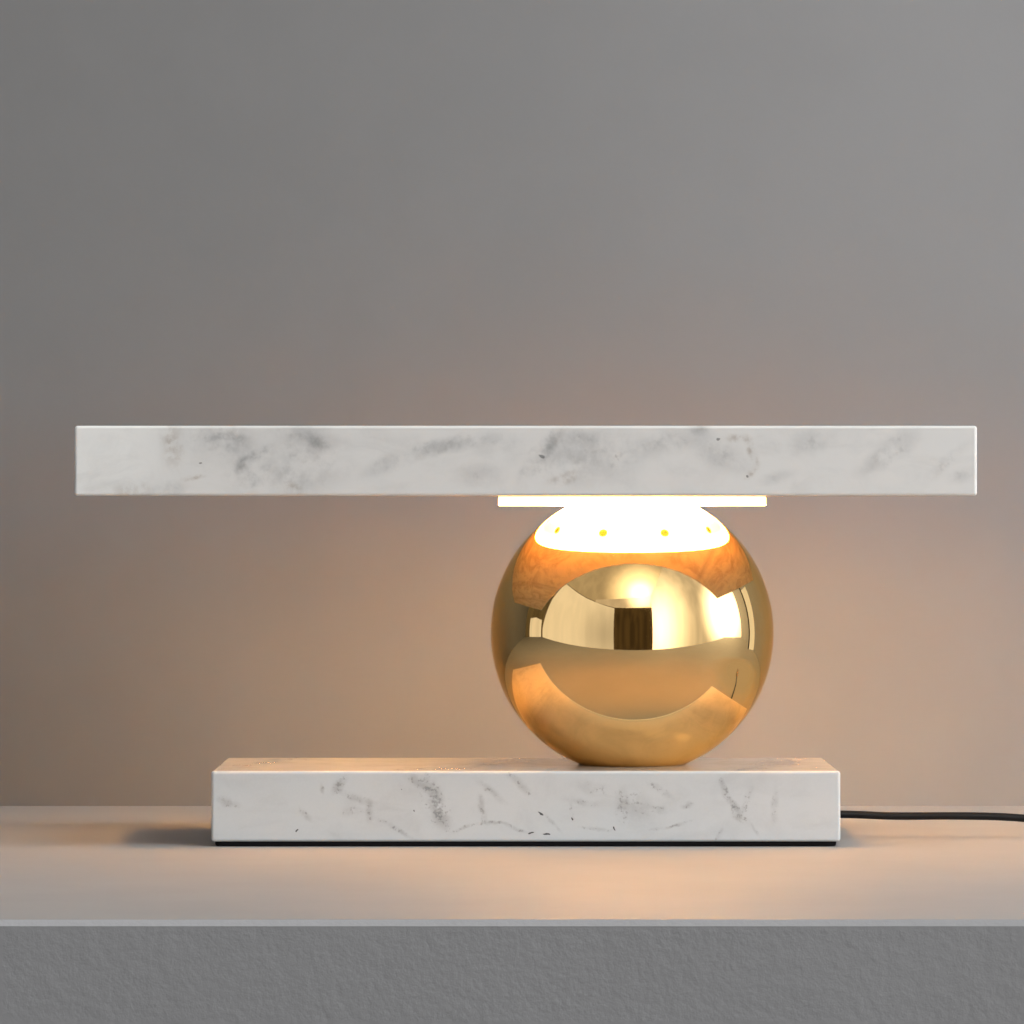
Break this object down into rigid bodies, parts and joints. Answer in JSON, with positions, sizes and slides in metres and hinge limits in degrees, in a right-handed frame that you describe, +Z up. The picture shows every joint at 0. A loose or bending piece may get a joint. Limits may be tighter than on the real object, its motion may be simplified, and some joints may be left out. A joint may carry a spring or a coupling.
{
  "type": "table lamp",
  "caption": "Table lamp: a long marble beam clamped on a polished gold ball, which stands on a marble base, with a glowing opal disc under the beam and a corded in-line switch.",
  "frame": {"origin": "on the table, under the middle of the beam and the base", "axes": "+X along the beam towards the end where the cord leaves, +Y to the back, +Z up"},
  "size_m": [0.6471, 0.17, 0.211],
  "materials": {
    "white_marble": "polished white marble with soft grey veins",
    "polished_gold": "mirror-polished gold plate",
    "opal_acrylic": "opal acrylic, lit warm white from inside",
    "black_pad": "matt foam pad",
    "black_cord": "smooth matt sheath",
    "black_rubber": "moulded soft rubber",
    "black_plastic": "fine moulded texture",
    "rocker_plastic": "smooth moulded",
    "black_plug": "soft moulded body",
    "black_tie": "woven hook-and-loop strap",
    "plug_pins": "nickel-plated brass",
    "brass_parts": "bright brass",
    "zinc_steel": "zinc-plated steel",
    "screw_steel": "nickel-plated steel",
    "hub_aluminium": "turned aluminium",
    "white_film": "matt white",
    "white_plastic": "moulded white plastic",
    "led_yellow": "phosphor over white package",
    "green_board": "solder-masked board",
    "board_parts": "transformer and capacitors",
    "red_wire": "insulated core"
  },
  "bodies": {
    "lamp": {"upper_slab": "white_marble", "base_slab": "white_marble", "base_pad": "black_pad", "ball_shell": "polished_gold", "ball_top_cap": "zinc_steel", "ball_foot_plate": "zinc_steel", "wire_grommets": "black_rubber", "centre_rod": "zinc_steel", "rod_nuts": "zinc_steel", "rod_washers": "zinc_steel", "mounting_flange": "zinc_steel", "flange_screws": "zinc_steel", "flange_inserts": "brass_parts", "light_disc": "opal_acrylic", "reflector_film": "white_film", "disc_screws": "screw_steel", "disc_anchors": "white_film", "led_hub": "hub_aluminium", "led_strip": "white_film", "led_chips": "led_yellow", "led_wires": "red_wire", "driver_bracket": "zinc_steel", "driver_case": "white_plastic", "driver_lid": "white_plastic", "driver_board": "green_board", "driver_parts": "board_parts", "driver_screws": "zinc_steel", "inner_lead": "black_cord", "cord_gland": "black_rubber", "lamp_cord": "black_cord", "switch_base": "black_plastic", "switch_cover": "black_plastic", "switch_screws": "screw_steel", "rocker_pin": "screw_steel", "common_terminal": "brass_parts", "line_terminal": "brass_parts", "switch_wires": "red_wire", "coil_lead": "black_cord", "cord_coil": "black_cord", "cord_tie": "black_tie", "plug_lead": "black_cord", "plug_sleeve": "black_rubber", "plug_body": "black_plug", "plug_pins": "plug_pins", "pin_sleeves": "black_rubber"},
    "rocker": {"switch_rocker": "rocker_plastic", "switch_plunger": "brass_parts"},
    "contact": {"contact_seesaw": "brass_parts"}
  },
  "joints": [
    {"name": "rocker_tilt", "type": "hinge", "parent": "lamp", "child": "rocker", "pos_m": [0.315, 0, 0.0126], "axis": [0, 1, 0], "range_deg": [-22, 0]},
    {"name": "contact_tilt", "type": "hinge", "parent": "lamp", "child": "contact", "pos_m": [0.315, 0, 0.0055], "axis": [0, 1, 0], "range_deg": [0, 16]}
  ],
  "couplings": [
    {"joint": "contact_tilt", "follows": "rocker_tilt", "ratio": -0.7272}
  ]
}
